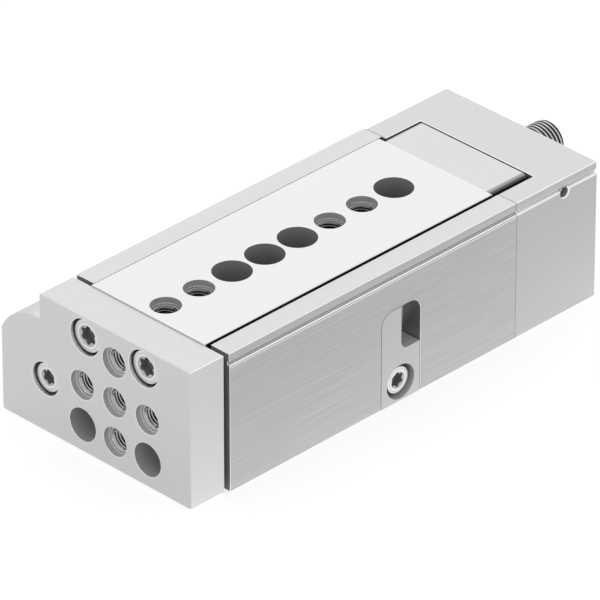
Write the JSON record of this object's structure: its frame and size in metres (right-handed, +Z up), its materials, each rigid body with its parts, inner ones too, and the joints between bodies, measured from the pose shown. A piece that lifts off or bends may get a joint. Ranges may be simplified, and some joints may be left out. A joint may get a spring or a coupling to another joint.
{
  "type": "pneumatic slide table",
  "caption": "Compact pneumatic slide table: a ground steel table on crossed roller guides in an aluminium housing, with yoke plate, side cylinder, shock absorbers and stops.",
  "frame": {"origin": "on the bottom mounting face, on the table's centre line, 44.5 mm behind the front end of the extruded profile, with the table retracted", "axes": "+X is the way the table comes out, +Y the side with the window, +Z up"},
  "size_m": [0.1356, 0.0589, 0.035],
  "materials": {
    "profile": "brushed natural anodised extrusion",
    "block": "fine matte natural anodised",
    "yoke": "fine matte natural anodised",
    "insert": "matte anodised",
    "stop": "matte nickel plated",
    "table": "bright ground",
    "rail": "ground hardened",
    "roller": "polished",
    "cage": "moulded",
    "screw": "bright zinc plated",
    "rod": "hard chromed",
    "cylinder": "turned",
    "bush": "sintered bronze",
    "seal": "moulded",
    "magnet": "bonded magnet",
    "absorber": "threaded, nickel plated"
  },
  "bodies": {
    "housing": {"housing_profile": "profile", "rear_block": "block", "rear_block_screws": "screw", "guide_rail_left": "rail", "guide_rail_right": "rail", "side_insert": "insert", "side_insert_screw": "screw", "bearing_cap": "cylinder", "rod_bush": "bush", "rod_seal": "seal", "retaining_ring": "rail", "cylinder_plug": "cylinder", "rear_absorber_body": "absorber", "absorber_set_screw": "rail", "front_absorber_body": "absorber", "front_stop_screw": "absorber", "front_stop_buffer": "seal"},
    "table": {"slide_table": "table", "yoke_plate": "yoke", "yoke_screws": "screw", "rod_screw": "screw", "piston_rod": "rod", "piston": "cylinder", "piston_seal": "seal", "piston_magnet": "magnet", "piston_nut": "screw", "stop_block": "stop", "stop_block_screws": "screw"},
    "left_cage": {"roller_cage_left": "cage", "rollers_left": "roller"},
    "right_cage": {"roller_cage_right": "cage", "rollers_right": "roller"},
    "rear_plunger": {"rear_absorber_plunger": "rod"},
    "front_plunger": {"front_absorber_plunger": "rod"}
  },
  "joints": [
    {"name": "slide_stroke", "type": "slide", "parent": "housing", "child": "table", "axis": [1, 0, 0], "range_m": [0, 0.05]},
    {"name": "left_cage_roll", "type": "slide", "parent": "housing", "child": "left_cage", "axis": [1, 0, 0], "range_m": [0, 0.025]},
    {"name": "right_cage_roll", "type": "slide", "parent": "housing", "child": "right_cage", "axis": [1, 0, 0], "range_m": [0, 0.025]},
    {"name": "rear_plunger_press", "type": "slide", "parent": "housing", "child": "rear_plunger", "axis": [1, 0, 0], "range_m": [0, 0.006]},
    {"name": "front_plunger_press", "type": "slide", "parent": "housing", "child": "front_plunger", "axis": [1, 0, 0], "range_m": [0, 0.006]}
  ],
  "couplings": [
    {"joint": "left_cage_roll", "follows": "slide_stroke", "ratio": 0.5},
    {"joint": "right_cage_roll", "follows": "slide_stroke", "ratio": 0.5},
    {"joint": "rear_plunger_press", "follows": "slide_stroke", "ratio": 0.12},
    {"joint": "front_plunger_press", "follows": "slide_stroke", "ratio": 0.12}
  ]
}
